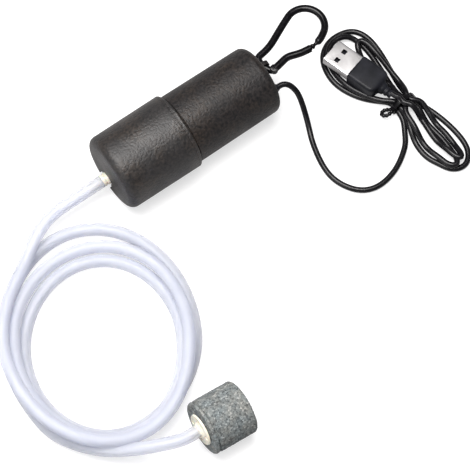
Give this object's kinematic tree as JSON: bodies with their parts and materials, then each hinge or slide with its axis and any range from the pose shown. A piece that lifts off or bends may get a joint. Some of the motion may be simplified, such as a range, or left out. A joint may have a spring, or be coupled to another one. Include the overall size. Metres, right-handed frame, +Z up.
{
  "type": "aquarium air pump",
  "caption": "Small cylindrical air pump with a motor-driven diaphragm head, a spring hook, an air hose ending in an air stone, and a USB cable.",
  "frame": {"origin": "under the middle of the pump and its hook, on the surface that they stand on", "axes": "+X along the pump's axis from its air outlet to its hook, +Z up"},
  "size_m": [0.2275, 0.1476, 0.0356],
  "materials": {
    "casing_black": "fine-grained black moulding, satin",
    "hook_black": "glossy black coat",
    "cable_black": "glossy black sheath",
    "grip_black": "satin black overmould",
    "ivory": "semi-gloss ivory moulding",
    "hose_clear": "milky translucent hose",
    "mineral": "coarse sintered grains",
    "rubber": "matt",
    "foam": "open foam",
    "grey_plastic": "satin",
    "white_plastic": "satin",
    "steel": "turned",
    "zinc": "zinc plated",
    "brass": "turned",
    "copper": "enamelled copper",
    "magnet": "sintered ferrite",
    "carbon": "carbon",
    "nickel": "bright nickel plate",
    "red_lead": "red sheath",
    "black_lead": "black sheath"
  },
  "bodies": {
    "casing": {"front_cap": "casing_black", "rear_shell": "casing_black", "seal_ring": "rubber", "cable_grommet": "grip_black", "head_cover": "ivory", "valve_sheet": "rubber", "valve_plate": "white_plastic", "diaphragm": "rubber", "diaphragm_seat": "white_plastic", "pump_bracket": "grey_plastic", "head_sleeve": "foam", "head_screw_1": "zinc", "head_screw_2": "zinc", "head_screw_3": "zinc", "motor_can": "zinc", "motor_end_bell": "grip_black", "front_bush": "brass", "rear_bush": "brass", "magnet_1": "magnet", "magnet_2": "magnet", "brush_1": "carbon", "brush_2": "carbon", "terminal_1": "brass", "terminal_2": "brass", "motor_screw_1": "zinc", "motor_screw_2": "zinc", "motor_sleeve": "foam", "lead_positive": "red_lead", "lead_negative": "black_lead", "hose_feed": "hose_clear", "hose_coil": "hose_clear", "hose_end": "hose_clear", "air_stone": "mineral", "stone_collar": "ivory", "cable_feed": "cable_black", "cable_hank": "cable_black", "cable_tie": "cable_black", "plug_grip": "grip_black", "plug_relief": "grip_black", "plug_shell": "nickel", "plug_tongue": "grip_black"},
    "rotor": {"motor_shaft": "steel", "eccentric_hub": "brass", "crank_pin": "steel", "armature_core": "steel", "winding_1": "copper", "winding_2": "copper", "winding_3": "copper", "commutator": "copper"},
    "wobble_plate": {"wobble_plate": "white_plastic"},
    "hook": {"hook_body": "hook_black", "gate_pin": "hook_black", "gate_spring": "steel"},
    "hook_gate": {"hook_gate": "hook_black"}
  },
  "joints": [
    {"name": "motor_spin", "type": "hinge", "parent": "casing", "child": "rotor", "pos_m": [-0.00624, -0.00088, 0.0178], "axis": [1, 0, 0], "continuous": true},
    {"name": "plate_wobble", "type": "hinge", "parent": "rotor", "child": "wobble_plate", "pos_m": [-0.03324, -0.00088, 0.0178], "axis": [0.9945, 0, 0.1048], "continuous": true, "deforming": ["diaphragm"]},
    {"name": "hook_swing", "type": "hinge", "parent": "casing", "child": "hook", "pos_m": [0.02816, 0.00302, 0.0178], "axis": [0.179, -0.9838, 0], "range_deg": [-15, 95]},
    {"name": "gate_open", "type": "hinge", "parent": "hook", "child": "hook_gate", "pos_m": [0.03132, -0.00098, 0.0178], "axis": [0, 0, 1], "range_deg": [0, 24], "stiffness_Nm_per_rad": 0.02, "springref_deg": -11.46, "deforming": ["gate_spring"]}
  ],
  "couplings": [
    {"joint": "plate_wobble", "follows": "motor_spin", "ratio": -1}
  ]
}
